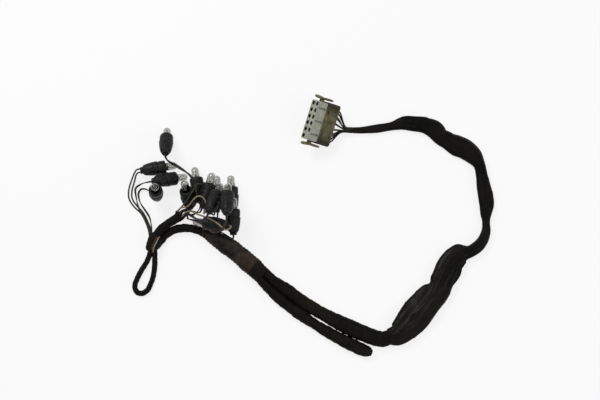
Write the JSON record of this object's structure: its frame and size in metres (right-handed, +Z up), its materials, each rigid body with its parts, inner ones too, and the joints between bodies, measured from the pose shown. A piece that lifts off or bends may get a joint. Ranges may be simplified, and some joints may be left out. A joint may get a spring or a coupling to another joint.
{
  "type": "lamp wiring harness",
  "caption": "Old vehicle instrument-lamp harness: two-row plug, wrinkled black sleeve, taped trunk and branches, rubber holders with clear wedge bulbs.",
  "frame": {"origin": "on the surface that the harness lies on, under the middle of its laid-out outline", "axes": "+X towards the outer side of the sleeve's bend, +Y towards the plug's side, +Z up from the surface"},
  "size_m": [0.4564, 0.3203, 0.0686],
  "materials": {
    "plug": "dull grey, with olive dirt on the rear block",
    "sleeve": "soft black sleeve with a low shine and creases",
    "tape": "old black tape, dusty",
    "rubber": "dull black rubber, greyed",
    "bulb_glass": "clear",
    "black_wire": "worn black insulation",
    "green_wire": "dirty green insulation",
    "tan_wire": "faded tan insulation",
    "blue_wire": "dark blue insulation",
    "brown_wire": "dark brown insulation"
  },
  "bodies": {
    "root": {"connector_housing": "plug", "connector_wires_1": "black_wire", "connector_wires_2": "black_wire", "connector_wires_3": "black_wire", "connector_wires_4": "black_wire", "connector_wires_5": "black_wire", "connector_wires_6": "black_wire", "bulb_holder_1": "rubber", "bulb_1": "bulb_glass", "bulb_holder_2": "rubber", "bulb_2": "bulb_glass", "bulb_holder_3": "rubber", "bulb_3": "bulb_glass", "bulb_holder_4": "rubber", "bulb_4": "bulb_glass", "bulb_holder_5": "rubber", "bulb_5": "bulb_glass", "bulb_holder_6": "rubber", "bulb_6": "bulb_glass", "bulb_holder_7": "rubber", "bulb_7": "bulb_glass", "bulb_holder_8": "rubber", "bulb_8": "bulb_glass", "bulb_holder_9": "rubber", "bulb_9": "bulb_glass", "bulb_holder_10": "rubber", "bulb_10": "bulb_glass", "bulb_holder_11": "rubber", "bulb_11": "bulb_glass", "bulb_holder_12": "rubber", "bulb_12": "bulb_glass", "bulb_holder_13": "rubber", "bulb_13": "bulb_glass", "lead_1": "black_wire", "lead_2_outer": "black_wire", "lead_2_inner": "black_wire", "lead_3": "black_wire", "lead_4": "black_wire", "lead_5": "black_wire", "lead_6": "black_wire", "lead_7": "black_wire", "lead_8": "black_wire", "lead_9": "black_wire", "lead_10": "blue_wire", "lead_11": "brown_wire", "lead_12": "tan_wire", "lead_13": "black_wire", "green_wire": "green_wire", "tan_wire": "tan_wire", "main_sleeve": "sleeve", "upper_branch": "tape", "stub_branch": "tape", "trunk_wrap": "tape", "left_branch": "tape", "socket_branch": "tape", "knot_wrap": "tape", "tape_loop": "tape"}
  },
  "joints": []
}
